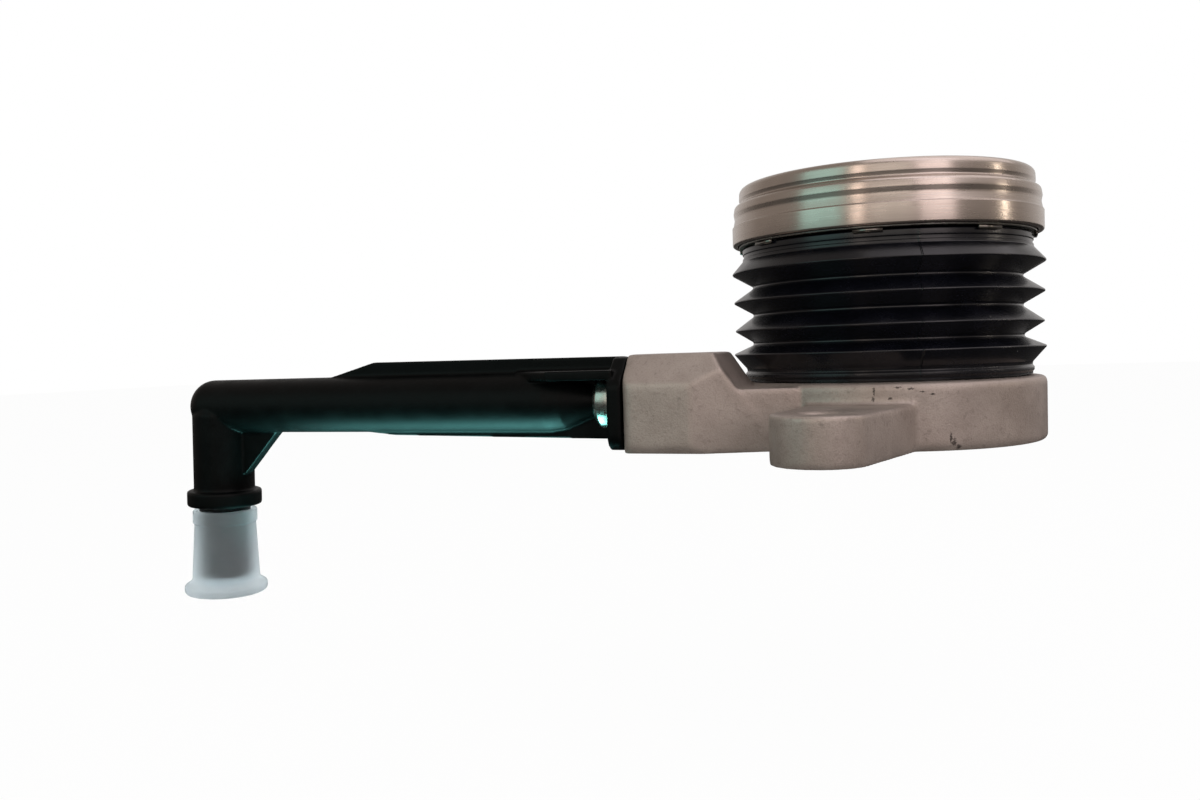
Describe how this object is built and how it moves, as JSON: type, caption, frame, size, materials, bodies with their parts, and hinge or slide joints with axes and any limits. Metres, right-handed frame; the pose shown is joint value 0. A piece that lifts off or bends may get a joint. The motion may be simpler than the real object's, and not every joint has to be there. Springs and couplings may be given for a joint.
{
  "type": "hydraulic concentric clutch slave cylinder",
  "caption": "Ring-shaped clutch slave cylinder with a rubber bellows, a steel release bearing, fixing lugs and a long black plastic feed pipe ending in an elbow under a milky dust cap.",
  "frame": {"origin": "centre of the face that is screwed to the gearbox, on the input shaft's axis", "axes": "+Z along the input shaft from the gearbox to the release bearing, -X the way the feed pipe leaves, -Y the side that the picture shows"},
  "size_m": [0.2009, 0.1224, 0.092],
  "materials": {
    "cast aluminium": "as-cast, matte, with a fine blasted grain",
    "pressed steel": "satin, turned and polished",
    "spring steel": "dark, oiled",
    "bearing steel": "ground and polished",
    "black rubber": "moulded, semi-matte",
    "black nylon": "glass-filled moulding, semi-matte",
    "natural nylon": "unpainted moulding",
    "milky polythene": "soft, translucent moulding"
  },
  "bodies": {
    "housing": {"housing": "cast aluminium", "guide_sleeve": "pressed steel", "sleeve_seal": "black rubber", "stop_ring": "spring steel", "spring_seat": "spring steel", "bellows_clamp_ring": "spring steel", "bellows": "black rubber", "preload_spring": "spring steel", "feed_pipe": "black nylon", "pipe_ferrule": "pressed steel", "port_seal": "black rubber", "spigot_seal": "black rubber"},
    "piston": {"piston": "natural nylon", "piston_seal": "black rubber", "bearing_carrier": "pressed steel", "wave_washer": "spring steel", "bearing_inner_race": "bearing steel", "bearing_clip": "spring steel"},
    "bearing": {"bearing_cover": "pressed steel", "bearing_outer_race": "bearing steel", "bearing_shield": "pressed steel"},
    "ball_set": {"bearing_cage": "natural nylon", "ball_01": "bearing steel", "ball_02": "bearing steel", "ball_03": "bearing steel", "ball_04": "bearing steel", "ball_05": "bearing steel", "ball_06": "bearing steel", "ball_07": "bearing steel", "ball_08": "bearing steel", "ball_09": "bearing steel", "ball_10": "bearing steel", "ball_11": "bearing steel", "ball_12": "bearing steel", "ball_13": "bearing steel", "ball_14": "bearing steel"},
    "cap": {"dust_cap": "milky polythene"}
  },
  "joints": [
    {"name": "piston_stroke", "type": "slide", "parent": "housing", "child": "piston", "axis": [0, 0, 1], "range_m": [-0.012, 0], "stiffness_N_per_m": 2000, "springref_m": 0.015, "deforming": ["bellows", "preload_spring"]},
    {"name": "bearing_turn", "type": "hinge", "parent": "piston", "child": "bearing", "pos_m": [0, 0, 0.049], "axis": [0, 0, 1], "continuous": true},
    {"name": "ball_set_turn", "type": "hinge", "parent": "piston", "child": "ball_set", "pos_m": [0, 0, 0.049], "axis": [0, 0, 1], "continuous": true},
    {"name": "cap_pull", "type": "slide", "parent": "housing", "child": "cap", "axis": [-0.0349, 0, -0.9994], "range_m": [0, 0.018]}
  ],
  "couplings": [
    {"joint": "ball_set_turn", "follows": "bearing_turn", "ratio": 0.5512}
  ]
}
